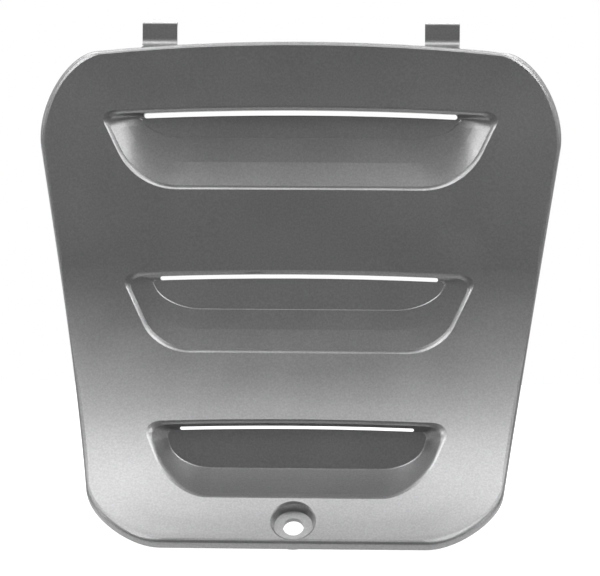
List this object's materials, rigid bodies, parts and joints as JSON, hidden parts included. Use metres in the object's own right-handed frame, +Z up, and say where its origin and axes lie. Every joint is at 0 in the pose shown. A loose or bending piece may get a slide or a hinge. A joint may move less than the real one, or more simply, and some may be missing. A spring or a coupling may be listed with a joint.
{
  "type": "scooter inspection cover",
  "caption": "Curved moulded access cover for a scooter's bodywork, with louvred slots, hook tabs on its top edge and a sunk screw hole at its foot.",
  "frame": {"origin": "middle of the screw head's seat, on the axis of the screw hole", "axes": "+X to the right seen from the front, -Y out of the front face, +Z up towards the hooks"},
  "size_m": [0.1788, 0.0435, 0.1795],
  "materials": {
    "metallic_grey_plastic": "satin metallic grey paint"
  },
  "bodies": {
    "root": {"inspection_cover": "metallic_grey_plastic"}
  },
  "joints": []
}
